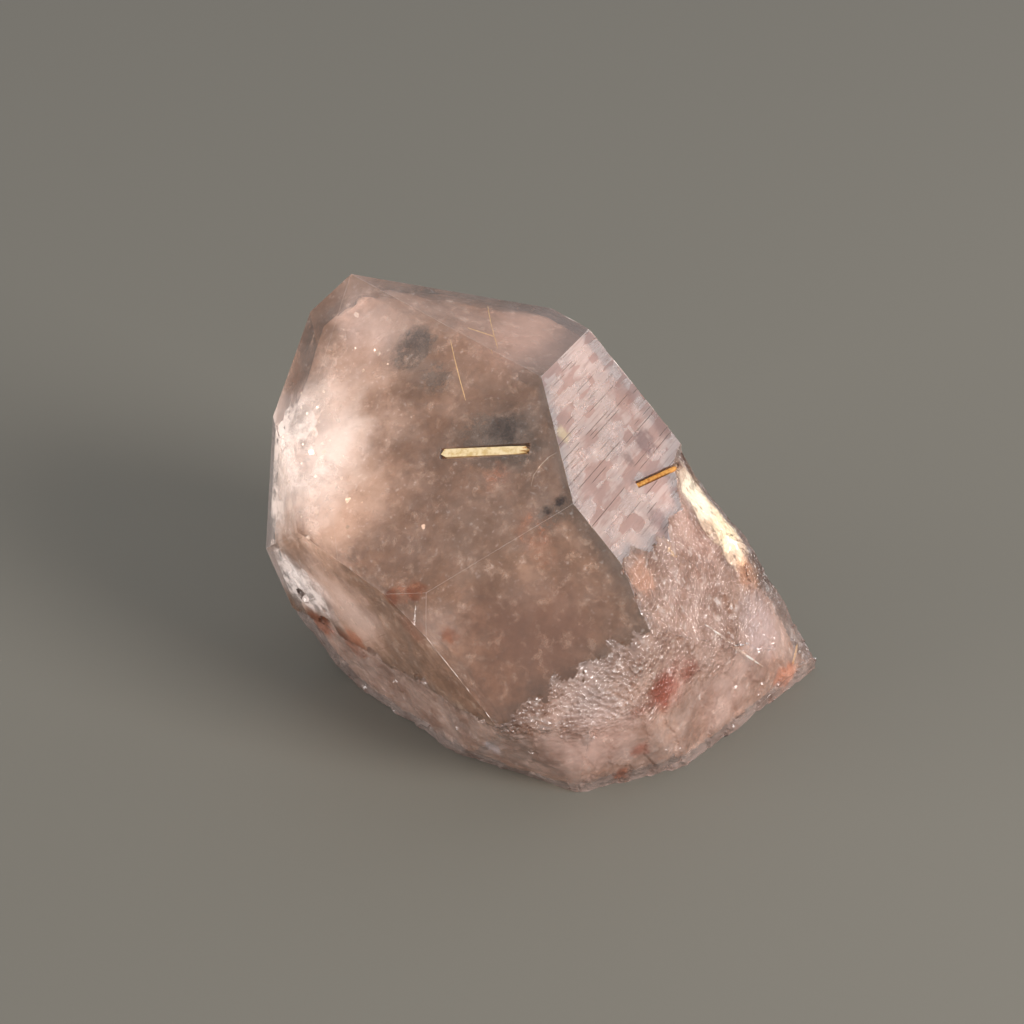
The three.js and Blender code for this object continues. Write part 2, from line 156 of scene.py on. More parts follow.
# a grown face by its turn around the long axis, its slope to it and its distance
def crystal_face(azimuth, slope, distance):
    around = math.radians(azimuth)
    lean = math.radians(slope)
    outward = first_side * math.cos(around) + second_side * math.sin(around)
    return wall(outward * math.sin(lean) + long_axis * math.cos(lean), distance)


prism_faces = [
    crystal_face(-59.9, 89.2, 15.0),
    crystal_face(-122.2, 89.5, 19.0),
    crystal_face(-180.2, 89.6, 18.45),
    crystal_face(-240.0, 90.0, 19.5),
    crystal_face(-300.0, 90.0, 12.0),
    crystal_face(0.0, 88.9, 12.75),
]
point_faces = [
    crystal_face(-59.7, 51.3, 17.35),
    crystal_face(-117.7, 52.9, 15.4),
    crystal_face(-180.0, 52.1, 21.5),
    crystal_face(-249.1, 55.6, 17.15),
    crystal_face(-303.3, 52.0, 16.5),
    crystal_face(0.0, 51.8, 17.55),
    wall(pointing(-128.9, 50.9), 16.05),
    wall(pointing(-146.0, 47.8), 18.6),
    wall(pointing(-112.0, 24.0), 20.1),
]
table_face = wall(Vector((0.0, 0.0, -1.0)), 15.2)
# the broken base, with the depth of its roughness in mm for each face
break_faces = [
    wall(pointing(-21.8, 30.5), 17.26),
    wall(pointing(-86.7, 17.4), 21.08),
    wall(pointing(-43.0, 4.0), 22.82),
    wall(pointing(-86.7, -12.0), 24.8),
    wall(pointing(-70.0, -13.0), 25.37),
    wall(pointing(-116.0, -28.4), 22.21),
]
break_depths = (0.62, 0.34, 0.5, 0.45, 0.45, 0.4)
left_undercut = wall(pointing(-135.3, -13.8), 18.4)
striped_face = prism_faces[0]
right_face = prism_faces[5]
large_face = point_faces[1]
STRIPED_FACES = (0, 4, 5)
STARTING_CUBE = 200.0 * MM


# the closed body that the walls leave of a large cube
def body_between(walls):
    body = bmesh.new()
    bmesh.ops.create_cube(body, size=STARTING_CUBE)
    for normal, level in walls:
        bmesh.ops.bisect_plane(
            body,
            geom=body.verts[:] + body.edges[:] + body.faces[:],
            plane_co=normal * level,
            plane_no=normal,
            clear_outer=True,
        )
        rim = [e for e in body.edges if e.is_boundary]
        if rim:
            bmesh.ops.contextual_create(body, geom=rim)
    body.normal_update()
    return body


def lies_on(point, face, margin=0.01 * MM):
    normal, level = face
    return abs(normal.dot(point) - level) < margin


SHORTEST_WORN_EDGE = 3.0 * MM
EDGE_WEAR = 0.11 * MM

shape = body_between(prism_faces + point_faces + break_faces + [table_face])
rough_faces = break_faces + [table_face]
whole_edges = [
    e for e in shape.edges
    if not any(lies_on(v.co, face) for face in rough_faces for v in e.verts)
]
broken_off_edges = [
    e for e in shape.edges if e not in whole_edges and e.calc_length() > SHORTEST_WORN_EDGE
    and not any(all(lies_on(v.co, face) for v in e.verts) for face in rough_faces)
]
GLASSY, STRIPED, BROKEN, WORN = range(4)
rounded = bmesh.ops.bevel(shape, geom=whole_edges + broken_off_edges, offset=EDGE_WEAR, segments=2,
                          profile=0.6, affect="EDGES", clamp_overlap=True)
for face in rounded["faces"]:
    face.material_index = WORN
shape.normal_update()


# the faces that lie flat in one plane, and the same with their edges and corners
def flat_part(normal):
    faces = [f for f in shape.faces if f.normal.dot(normal) > 0.9999]
    edges = dict.fromkeys(e for f in faces for e in f.edges)
    corners = dict.fromkeys(v for f in faces for v in f.verts)
    return faces, faces + list(edges) + list(corners)


# growth ledges cross a prism face at right angles to the long axis
LEDGE_RISE = 0.05 * MM


def ledge_places(spacing, seed):
    order = random.Random(seed)
    places = [-30.0]
    while places[-1] < 45.0:
        places.append(places[-1] + spacing * order.choice((0.35, 0.6, 0.9, 1.3, 2.1)))
    return [place * MM for place in places]


# where each prism face steps, and its deepest step in mm
ledges = {
    0: (ledge_places(0.90, 11), 0.03),
    1: (ledge_places(2.60, 12), 0.03),
    2: (ledge_places(1.30, 13), 0.06),
    3: (ledge_places(1.60, 14), 0.06),
    4: (ledge_places(1.30, 15), 0.06),
    5: (ledge_places(1.00, 16), 0.055),
}
for index, (places, _) in ledges.items():
    normal, level = prism_faces[index]
    for place in places:
        for cut in (place, place + LEDGE_RISE):
            _, flat = flat_part(normal)
            bmesh.ops.bisect_plane(shape, geom=flat, plane_co=long_axis * cut, plane_no=long_axis)


# a step is deepest at its start and runs out towards the next one, and its depth changes across
def ledge_depth(index, point):
    places, deepest = ledges[index]
    along = point.dot(long_axis)
    number = max(bisect.bisect_right(places, along + 0.001 * MM) - 1, 0)
    start, end = places[number], places[number + 1]
    across = point - long_axis * along
    strength = noise.noise(across / (3.2 * MM) + Vector((7.3 * number, index, 0.0)))
    strength = min(max(0.5 + 5.0 * strength, 0.12), 1.0)
    rise = (along - start) / LEDGE_RISE
    sink = 1.0 - (along - start - LEDGE_RISE) / (end - start - LEDGE_RISE)
    return deepest * MM * strength * max(min(rise, sink), 0.0)


# the two rutile crystals lie in narrow open grooves
GROOVE_GAP = 0.06 * MM
GROOVE_FLOOR_GAP = 0.05 * MM
GROOVE_MARGIN = 0.02 * MM


def open_groove(node_name, face):
    normal, level = face
    points = [v.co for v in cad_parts[node_name].data.vertices]
    along = max((p - q for p in points for q in points), key=lambda d: d.length)
    along = (along - normal * along.dot(normal)).normalized()
    across = normal.cross(along)
    directions = (along, across, normal)
    spans = [(min(p.dot(d) for p in points), max(p.dot(d) for p in points)) for d in directions]
    middle = sum(((low + high) / 2.0 * d for (low, high), d in zip(spans, directions)), Vector())
    half_length = (spans[0][1] - spans[0][0]) / 2.0 + GROOVE_GAP
    half_width = (spans[1][1] - spans[1][0]) / 2.0 + GROOVE_GAP
    depth = level - spans[2][0] + GROOVE_FLOOR_GAP
    for side, size in ((along, half_length), (across, half_width)):
        for sign in (1.0, -1.0):
            _, flat = flat_part(normal)
            bmesh.ops.bisect_plane(shape, geom=flat, plane_co=middle + side * size * sign, plane_no=side)
    faces, _ = flat_part(normal)
    inside = [
        f for f in faces
        if abs((f.calc_center_median() - middle).dot(along)) < half_length
        and abs((f.calc_center_median() - middle).dot(across)) < half_width
    ]
    extruded = bmesh.ops.extrude_face_region(shape, geom=inside)
    floor = [v for v in extruded["geom"] if isinstance(v, bmesh.types.BMVert)]
    bmesh.ops.translate(shape, verts=floor, vec=-normal * depth)
    bmesh.ops.delete(shape, geom=inside, context="FACES")
    return middle, along, across, half_length + GROOVE_MARGIN, half_width + GROOVE_MARGIN


grooves = [open_groove("rutile_blade", large_face), open_groove("rutile_rod", striped_face)]


def in_groove(point):
    for middle, along, across, half_length, half_width in grooves:
        offset = point - middle
        if abs(offset.dot(along)) < half_length and abs(offset.dot(across)) < half_width:
            if offset.length < half_length + half_width:
                return True
    return False


# breaks are rough: swells, shell-shaped steps, hackle and fine grain
def broken_depth(point, deepest, seed):
    place = point / MM + Vector((seed, 0.7 * seed, 0.0))
    swell = noise.noise(place / 4.5)
    shells = (place.length / 2.7 + 0.7 * noise.noise(place / 3.1)) % 1.0
    hackle = noise.noise(place / 1.0)
    grain = noise.noise(place / 0.45)
    depth = deepest * (0.62 + 0.55 * swell + 0.45 * shells) + 0.13 * hackle + 0.07 * grain
    return max(depth, 0.03) * MM


# a long shallow chip runs down the edge between the striped face and the right face
chip_normal = (striped_face[0] * 0.80 + right_face[0] * 0.20).normalized()
chip_start = crystal_centre + Vector((15.15, 0.55, 6.8)) * MM
chip_along = striped_face[0].cross(right_face[0]).normalized()
if chip_along.z > 0.0:
    chip_along = -chip_along
CHIP_LENGTH = 12.5 * MM
CHIP_DEPTH = 1.25 * MM
chip_wall = (chip_normal, chip_normal.dot(chip_start) - CHIP_DEPTH)
# small dents: place from the crystal's centre and radius
small_dents = [
    (crystal_centre + Vector(place) * MM, radius * MM)
    for place, radius in (
        ((-17.6, 8.6, 18.0), 1.1),
        ((-15.8, 9.4, 19.4), 0.8),
        ((-19.3, -6.4, -5.2), 1.0),
        ((-16.9, -7.6, -7.6), 1.3),
        ((-12.6, -12.3, -7.4), 1.1),
        ((-8.4, -17.2, -6.6), 1.2),
        ((-3.2, -22.4, -6.4), 1.0),
        ((3.4, -24.4, -5.6), 0.9),
        ((-6.6, -21.6, -1.0), 0.7),
    )
]
NEAR = 1.9 * MM
UNDERCUT_BLEND = 0.3 * MM
UNDERCUT_ROUGHNESS = 0.42


# height of the ridge between the left face and the undercut below it
def ridge_height(point):
    wander = noise.noise(point / (1.7 * MM)) * 0.55 + noise.noise(point / (0.6 * MM)) * 0.25
    return (7.1 + 0.0925 * (point.x / MM + 22.8) + wander) * MM


# how far a point lies outside the worn and broken surface, the way back, and the surface's kind
def outside_by(point):
    found = []
    for index, (normal, level) in enumerate(prism_faces):
        excess = normal.dot(point) - level
        if excess > -NEAR:
            kind = STRIPED if index in STRIPED_FACES else GLASSY
            found.append((excess + ledge_depth(index, point), normal, kind))
    for normal, level in point_faces + [table_face]:
        excess = normal.dot(point) - level
        if excess > -NEAR:
            found.append((excess, normal, BROKEN if normal.z == -1.0 else GLASSY))
    for number, (normal, level) in enumerate(break_faces):
        excess = normal.dot(point) - level
        if excess > -NEAR:
            rough = broken_depth(point, break_depths[number], 9.0 * number)
            found.append((excess + rough, normal, BROKEN))
    normal, level = left_undercut
    excess = normal.dot(point) - level
    if excess > -NEAR:
        under = min(max((ridge_height(point) - point.z) / UNDERCUT_BLEND, 0.0), 1.0)
        if under > 0.0:
            rough = broken_depth(point, UNDERCUT_ROUGHNESS, 70.0)
            found.append((excess + under * rough, normal, BROKEN))
    along = (point - chip_start).dot(chip_along)
    if 0.0 < along < CHIP_LENGTH:
        depth = CHIP_DEPTH * math.sqrt(math.sin(math.pi * along / CHIP_LENGTH))
        depth += 0.10 * MM * noise.noise(point / (1.2 * MM)) + 0.05 * MM * math.sin(along / (0.4 * MM))
        found.append(((point - chip_start).dot(chip_normal) + depth, chip_normal, BROKEN))
    for centre, radius in small_dents:
        offset = centre - point
        if offset.length < radius:
            found.append((radius - offset.length, offset.normalized(), BROKEN))
    return max(found, key=lambda entry: entry[0]) if found else (-1.0, long_axis, GLASSY)


# the mesh is finest where the surface is rough
def finest_edge(point):
    if any(normal.dot(point) - level > -1.0 * MM for normal, level in break_faces):
        return 0.52 * MM
    along = (point - chip_start).dot(chip_along)
    under_chip = (point - chip_start).dot(chip_normal)
    if -0.5 * MM < along < CHIP_LENGTH + 0.5 * MM and under_chip > -1.3 * MM:
        return 0.4 * MM
    if lies_on(point, prism_faces[2], 0.1 * MM):
        return 0.5 * MM
    if any(lies_on(point, prism_faces[k], 0.1 * MM) for k in (0, 3, 4, 5)):
        return 1.0 * MM
    return 2.0 * MM


bmesh.ops.triangulate(shape, faces=shape.faces)
for longest in (12.0, 7.0, 4.0, 2.4, 1.5, 1.0, 0.7, 0.45):
    long_edges = []
    for edge in shape.edges:
        length = edge.calc_length()
        if length > longest * MM and length > finest_edge((edge.verts[0].co + edge.verts[1].co) / 2.0):
            long_edges.append(edge)
    bmesh.ops.subdivide_edges(shape, edges=long_edges, cuts=1)
    bmesh.ops.triangulate(shape, faces=[f for f in shape.faces if len(f.verts) > 3])
kind_layer = shape.verts.layers.int.new("kind")
box_low, box_high = (Vector(corner) for corner in cad_box)
for vertex in shape.verts:
    excess, normal, kind = outside_by(vertex.co)
    if not in_groove(vertex.co):
        for _ in range(3):
            if excess > 0.0:
                vertex.co -= normal * excess
                excess, normal, kind = outside_by(vertex.co)
    vertex[kind_layer] = kind
    for axis in range(3):
        vertex.co[axis] = min(max(vertex.co[axis], box_low[axis]), box_high[axis])
bmesh.ops.dissolve_degenerate(shape, edges=shape.edges, dist=0.002 * MM)
bmesh.ops.triangulate(shape, faces=[f for f in shape.faces if len(f.verts) > 3])
shape.normal_update()
for face in shape.faces:
    broken = sum(v[kind_layer] == BROKEN for v in face.verts)
    facing = [face.normal.dot(normal) for normal, _ in prism_faces + point_faces]
    index = facing.index(max(facing))
    if broken > 1:
        face.material_index = BROKEN
    elif face.material_index != WORN:
        face.material_index = STRIPED if index in STRIPED_FACES else GLASSY
    face.smooth = False


def piece_from(name, shape):
    mesh = bpy.data.meshes.new(name)
    shape.to_mesh(mesh)
    shape.free()
    piece = bpy.data.objects.new(name, mesh)
    bpy.context.collection.objects.link(piece)
    return piece


crystal = piece_from("clear_crystal", shape)


def new_material(name):
    material = bpy.data.materials.new(name)
    material.use_nodes = True
    return material, material.node_tree, material.node_tree.nodes["Principled BSDF"]


# a value given to a node is either a plain one or a socket to link from
def add_node(tree, kind, values=None, **settings):
    made = tree.nodes.new(kind)
    for name, value in settings.items():
        setattr(made, name, value)
    for name, value in (values or {}).items():
        if isinstance(value, bpy.types.NodeSocket):
            tree.links.new(value, made.inputs[name])
        else:
            made.inputs[name].default_value = value
    return made


def new_group(name, takes, gives):
    group = bpy.data.node_groups.new(name, "ShaderNodeTree")
    for label, kind, value in takes:
        socket = group.interface.new_socket(label, in_out="INPUT", socket_type=kind)
        socket.default_value = value
    for label, kind in gives:
        group.interface.new_socket(label, in_out="OUTPUT", socket_type=kind)
    return group, group.nodes.new("NodeGroupInput"), group.nodes.new("NodeGroupOutput")


def use_group(tree, group, values):
    made = tree.nodes.new("ShaderNodeGroup")
    made.node_tree = group
    for name, value in values.items():
        if isinstance(value, bpy.types.NodeSocket):
            tree.links.new(value, made.inputs[name])
        else:
            made.inputs[name].default_value = value
    return made


def maths(tree, operation, first, second=0.0):
    made = tree.nodes.new("ShaderNodeMath")
    made.operation = operation
    for index, value in enumerate((first, second)):
        if isinstance(value, bpy.types.NodeSocket):
            tree.links.new(value, made.inputs[index])
        else:
            made.inputs[index].default_value = value
    return made.outputs[0]


def blend(tree, share, first, second):
    made = tree.nodes.new("ShaderNodeMix")
    made.data_type = "RGBA"
    for index, value in ((0, share), (6, first), (7, second)):
        if isinstance(value, bpy.types.NodeSocket):
            tree.links.new(value, made.inputs[index])
        else:
            made.inputs[index].default_value = value
    return made.outputs[2]


def stretch(tree, value, low, high, new_low=0.0, new_high=1.0):
    made = add_node(tree, "ShaderNodeMapRange", {
        "Value": value, "From Min": low, "From Max": high, "To Min": new_low, "To Max": new_high,
    }, interpolation_type="SMOOTHSTEP")
    return made.outputs[0]


# growth stripes run across the long axis: thin lines, with broader bands between them
stripes, stripes_in, stripes_out = new_group(
    "growth_stripes",
    [("Lines per mm", "NodeSocketFloat", 3.0), ("Length mm", "NodeSocketFloat", 6.0)],
    [("Lines", "NodeSocketFloat"), ("Bands", "NodeSocketFloat")],
)
stripe_place = add_node(stripes, "ShaderNodeTexCoord").outputs["Object"]
to_axis = long_axis.to_track_quat("Z", "Y").to_euler()
turned = add_node(stripes, "ShaderNodeVectorRotate", {
    "Vector": stripe_place, "Rotation": to_axis,
}, rotation_type="EULER_XYZ", invert=True)
in_mm = add_node(stripes, "ShaderNodeVectorMath", {0: turned.outputs[0], 1: (1000.0, 1000.0, 1000.0)},
                 operation="MULTIPLY")
split = add_node(stripes, "ShaderNodeSeparateXYZ", {0: in_mm.outputs[0]})
side_x = maths(stripes, "DIVIDE", split.outputs[0], stripes_in.outputs["Length mm"])
side_y = maths(stripes, "DIVIDE", split.outputs[1], stripes_in.outputs["Length mm"])
along_fine = maths(stripes, "MULTIPLY", split.outputs[2], stripes_in.outputs["Lines per mm"])
along_broad = maths(stripes, "MULTIPLY", along_fine, 0.15)
fine_place = add_node(stripes, "ShaderNodeCombineXYZ", {0: side_x, 1: side_y, 2: along_fine})
broad_place = add_node(stripes, "ShaderNodeCombineXYZ", {0: side_x, 1: side_y, 2: along_broad})
fine_noise = add_node(stripes, "ShaderNodeTexNoise", {
    "Vector": fine_place.outputs[0], "Scale": 1.0, "Detail": 3.0, "Roughness": 0.7,
})
broad_noise = add_node(stripes, "ShaderNodeTexNoise", {
    "Vector": broad_place.outputs[0], "Scale": 1.0, "Detail": 3.0, "Roughness": 0.6,
})
stripes.links.new(fine_noise.outputs[0], stripes_out.inputs["Lines"])
block_place = add_node(stripes, "ShaderNodeVectorMath", {
    0: broad_place.outputs[0], 1: (1.6, 1.6, 1.3),
}, operation="MULTIPLY")
blocks = add_node(stripes, "ShaderNodeTexVoronoi", {"Vector": block_place.outputs[0], "Scale": 1.0},
                  distance="CHEBYCHEV")
block_tone = add_node(stripes, "ShaderNodeSeparateColor", {0: blocks.outputs["Color"]})
uneven = maths(stripes, "MULTIPLY", broad_noise.outputs[0], 0.65)
blocky = maths(stripes, "ADD", uneven, maths(stripes, "MULTIPLY", block_tone.outputs[0], 0.35))
stripes.links.new(blocky, stripes_out.inputs["Bands"])

# a patch is a rounded area with a ragged edge, placed by its centre
patch, patch_in, patch_out = new_group(
    "ragged_patch",
    [
        ("Centre mm", "NodeSocketVector", (0.0, 0.0, 0.0)),
        ("Radius mm", "NodeSocketFloat", 3.0),
        ("Fade mm", "NodeSocketFloat", 2.0),
        ("Ragged mm", "NodeSocketFloat", 1.0),
        ("Grain", "NodeSocketFloat", 0.8),
    ],
    [("Mask", "NodeSocketFloat")],
)
patch_place = add_node(patch, "ShaderNodeTexCoord").outputs["Object"]
patch_mm = add_node(patch, "ShaderNodeVectorMath", {0: patch_place, 1: (1000.0, 1000.0, 1000.0)},
                    operation="MULTIPLY")
from_centre = add_node(patch, "ShaderNodeVectorMath", {
    0: patch_mm.outputs[0], 1: patch_in.outputs["Centre mm"],
}, operation="DISTANCE")
patch_noise = add_node(patch, "ShaderNodeTexNoise", {
    "Vector": patch_mm.outputs[0], "Scale": patch_in.outputs["Grain"], "Detail": 4.0, "Roughness": 0.65,
})
centred_noise = maths(patch, "MULTIPLY", maths(patch, "SUBTRACT", patch_noise.outputs[0], 0.5), 2.0)
ragged = maths(patch, "MULTIPLY", centred_noise, patch_in.outputs["Ragged mm"])
edge_distance = maths(patch, "ADD", maths(patch, "SUBTRACT", from_centre.outputs["Value"],
                                          patch_in.outputs["Radius mm"]), ragged)
fade = maths(patch, "DIVIDE", edge_distance, patch_in.outputs["Fade mm"])
patch.links.new(stretch(patch, maths(patch, "SUBTRACT", 0.5, fade), 0.0, 1.0), patch_out.inputs["Mask"])

# wisps are cloudy streaks of gas and liquid bubbles in the quartz
wisps, wisps_in, wisps_out = new_group(
    "cloud_wisps",
    [
        ("Size mm", "NodeSocketFloat", 3.0),
        ("Least", "NodeSocketFloat", 0.4),
        ("Most", "NodeSocketFloat", 0.7),
    ],
    [("Mask", "NodeSocketFloat"), ("Tone", "NodeSocketFloat")],
)
wisp_place = add_node(wisps, "ShaderNodeTexCoord").outputs["Object"]
wisp_mm = add_node(wisps, "ShaderNodeVectorMath", {0: wisp_place, 1: (1000.0, 1000.0, 1000.0)},
                   operation="MULTIPLY")
wisp_scale = maths(wisps, "DIVIDE", 1.0, wisps_in.outputs["Size mm"])
wisp_noise = add_node(wisps, "ShaderNodeTexNoise", {
    "Vector": wisp_mm.outputs[0], "Scale": wisp_scale, "Detail": 7.0, "Roughness": 0.60,
})
wisp_range = add_node(wisps, "ShaderNodeMapRange", {
    "Value": wisp_noise.outputs[0], "From Min": wisps_in.outputs["Least"],
    "From Max": wisps_in.outputs["Most"],
}, interpolation_type="SMOOTHSTEP")
wisps.links.new(wisp_range.outputs[0], wisps_out.inputs["Mask"])
wisps.links.new(wisp_noise.outputs[0], wisps_out.inputs["Tone"])


# clear glass that lets the lamps reach what lies inside the quartz
def fill_with_quartz(material, see_through):
    tree = material.node_tree
    shader = tree.nodes["Principled BSDF"]
    shader.inputs["IOR"].default_value = QUARTZ_IOR
    shader.inputs["Transmission Weight"].default_value = see_through
    shader.inputs["Metallic"].default_value = 0.0
    inside = add_node(tree, "ShaderNodeVolumeAbsorption", {
        "Color": ABSORPTION_COLOUR, "Density": ABSORPTION_DENSITY,
    })
    lamp_pass = add_node(tree, "ShaderNodeBsdfTransparent", {"Color": LAMP_TINT})
    ray_kind = add_node(tree, "ShaderNodeLightPath")
    lamp_mix = add_node(tree, "ShaderNodeMixShader", {
        0: ray_kind.outputs["Is Shadow Ray"], 1: shader.outputs[0], 2: lamp_pass.outputs[0],
    })
    output = tree.nodes["Material Output"]
    tree.links.new(lamp_mix.outputs[0], output.inputs["Surface"])
    tree.links.new(inside.outputs[0], output.inputs["Volume"])


def feed_bump(tree, height, strength, distance):
    bump = add_node(tree, "ShaderNodeBump", {
        "Strength": strength, "Distance": distance, "Height": height,
    })
    tree.links.new(bump.outputs[0], tree.nodes["Principled BSDF"].inputs["Normal"])


# spots are real stains and also patches of painted light and shade; each gives its centre, radius and
# fade in mm, its strength and its colour
def stains_and_painted_light(tree, colour, spots):
    for centre, radius, fade, share, shade in spots:
        mask = use_group(tree, patch, {
            "Centre mm": centre, "Radius mm": radius, "Fade mm": fade,
            "Ragged mm": 0.8 * radius + 0.2, "Grain": 1.6 / (radius + 0.4),
        }).outputs["Mask"]
        colour = blend(tree, maths(tree, "MULTIPLY", mask, share), colour, shade)
    return colour


glassy, glassy_tree, glassy_shader = new_material("glassy_quartz")
glassy_wisps = use_group(glassy_tree, wisps, {"Size mm": 3.0, "Least": 0.36, "Most": 0.66})
glassy_haze = blend(glassy_tree, glassy_wisps.outputs["Mask"],
                    (0.42, 0.29, 0.215, 1.0), (0.60, 0.455, 0.37, 1.0))
glassy_flecks = use_group(glassy_tree, wisps, {"Size mm": 0.42, "Least": 0.58, "Most": 0.70})
glassy_flecked = blend(glassy_tree, maths(glassy_tree, "MULTIPLY", glassy_flecks.outputs["Mask"], 0.7),
                       glassy_haze, (0.96, 0.86, 0.80, 1.0))
glassy_colour = stains_and_painted_light(glassy_tree, glassy_flecked, (
    # milky left side of the large face: milky bubbles, with painted glow of the light that passes
    # through the crystal
    ((-21.5, 1.0, 23.0), 6.0, 7.0, 0.9, (0.99, 0.93, 0.89, 1.0)),
    ((-24.0, 3.0, 18.0), 6.0, 6.0, 0.9, (1.0, 0.93, 0.89, 1.0)),
    # pale tip, milky with painted glow of the light that passes through the crystal, and paler upper
    # faces
    ((-17.0, 9.5, 33.5), 2.5, 4.0, 0.9, (1.0, 0.84, 0.77, 1.0)),
    ((1.0, 6.0, 32.0), 6.0, 6.0, 0.7, (0.78, 0.62, 0.56, 1.0)),
    # painted shade: the front face darker, turned away from the main light
    ((-2.0, -18.0, 14.0), 7.0, 6.0, 0.75, (0.31, 0.195, 0.145, 1.0)),
    # painted reflection and glow on the left face
    ((-21.5, -3.0, 11.8), 3.6, 3.4, 0.9, (1.0, 0.95, 0.95, 1.0)),
    ((-16.5, -8.0, 13.2), 3.0, 4.5, 0.8, (0.82, 0.70, 0.65, 1.0)),
    # lower left of the large face, milky with painted glow of the light that passes through, and a paler
    # corner of the front face
    ((-19.0, -3.2, 17.5), 3.0, 4.0, 0.75, (1.0, 0.90, 0.85, 1.0)),
    ((-9.2, -15.8, 17.0), 1.8, 2.4, 0.5, (0.84, 0.70, 0.63, 1.0)),
    # painted reflection and glow at the far end of the left face
    ((-23.2, -2.0, 12.0), 3.0, 2.6, 0.9, (1.0, 0.98, 0.98, 1.0)),
    # dark clouds
    ((-3.6, -4.0, 29.0), 1.5, 1.6, 0.75, (0.09, 0.07, 0.06, 1.0)),
    ((-11.4, 6.0, 31.8), 1.2, 1.8, 0.65, (0.12, 0.10, 0.09, 1.0)),
    ((-0.1, -11.9, 26.0), 0.4, 0.5, 0.9, (0.05, 0.04, 0.04, 1.0)),
    ((1.0, -11.5, 26.7), 0.5, 0.5, 0.9, (0.05, 0.04, 0.04, 1.0)),
    # paler upper left of the large face
    ((-9.0, 8.0, 33.0), 4.0, 6.0, 0.35, (0.86, 0.70, 0.62, 1.0)),
    ((-14.5, 8.0, 31.5), 2.5, 5.0, 0.5, (0.95, 0.86, 0.82, 1.0)),
    # rust along the ridge under the left face
    ((-20.6, -2.4, 7.4), 1.5, 1.2, 0.9, (0.40, 0.12, 0.06, 1.0)),
    ((-17.0, -6.8, 8.4), 1.2, 1.0, 0.8, (0.42, 0.14, 0.07, 1.0)),
    ((-18.2, -5.3, 7.5), 1.0, 0.9, 0.8, (0.48, 0.17, 0.09, 1.0)),
    # rust where the large, front and left faces meet
    ((-13.2, -14.3, 18.7), 0.7, 0.5, 0.85, (0.34, 0.12, 0.06, 1.0)),
    ((-11.3, -14.7, 19.8), 0.8, 0.6, 0.85, (0.36, 0.13, 0.06, 1.0)),
    ((-8.4, -16.8, 16.6), 0.6, 0.7, 0.8, (0.42, 0.17, 0.10, 1.0)),
    ((-11.6, -15.5, 16.3), 1.2, 1.4, 0.6, (0.62, 0.33, 0.25, 1.0)),
    # painted highlight on a small chip low on the front
    ((-4.9, -16.6, 4.0), 0.8, 0.8, 0.9, (0.97, 0.90, 0.92, 1.0)),
))
glassy_tree.links.new(glassy_colour, glassy_shader.inputs["Base Color"])
glassy_rough = stretch(glassy_tree, glassy_wisps.outputs["Tone"], 0.35, 0.7, 0.05, 0.16)
glassy_tree.links.new(glassy_rough, glassy_shader.inputs["Roughness"])
glassy_stripes = use_group(glassy_tree, stripes, {"Lines per mm": 1.4, "Length mm": 5.0})
feed_bump(glassy_tree, glassy_stripes.outputs["Lines"], 0.2, 0.00006)
fill_with_quartz(glassy, 0.8)

striped, striped_tree, striped_shader = new_material("striped_quartz")
striped_lines = use_group(striped_tree, stripes, {"Lines per mm": 5.5, "Length mm": 4.5})
striped_bands = stretch(striped_tree, striped_lines.outputs["Bands"], 0.50, 0.62)
striped_pale = blend(striped_tree, striped_bands, (0.77, 0.675, 0.655, 1.0), (0.56, 0.40, 0.375, 1.0))
striped_thin = stretch(striped_tree, striped_lines.outputs["Lines"], 0.50, 0.68)
striped_fine = blend(striped_tree, maths(striped_tree, "MULTIPLY", striped_thin, 0.6),
                     striped_pale, (0.44, 0.31, 0.30, 1.0))
striped_colour = stains_and_painted_light(striped_tree, striped_fine, (
    # dark bands above the rod
    ((8.6, 1.0, 24.4), 1.3, 1.0, 0.85, (0.20, 0.13, 0.14, 1.0)),
    ((6.9, -2.4, 25.0), 0.7, 0.7, 0.8, (0.22, 0.15, 0.15, 1.0)),
    # pinkish bands along the upper edge
    ((6.8, 4.0, 27.2), 1.6, 1.4, 0.7, (0.42, 0.25, 0.22, 1.0)),
    ((10.2, 5.2, 23.9), 1.4, 1.2, 0.7, (0.40, 0.24, 0.215, 1.0)),
    # golden spot at the left edge
    ((1.2, -5.6, 29.6), 0.7, 0.7, 0.8, (0.92, 0.82, 0.55, 1.0)),
    # dark band below the rod
    ((9.4, -6.4, 21.4), 1.1, 1.0, 0.7, (0.28, 0.19, 0.20, 1.0)),
))
striped_tree.links.new(striped_colour, striped_shader.inputs["Base Color"])
striped_rough = stretch(striped_tree, striped_lines.outputs["Bands"], 0.3, 0.7, 0.24, 0.40)
striped_tree.links.new(striped_rough, striped_shader.inputs["Roughness"])
feed_bump(striped_tree, striped_lines.outputs["Lines"], 0.55, 0.00016)
fill_with_quartz(striped, 0.72)

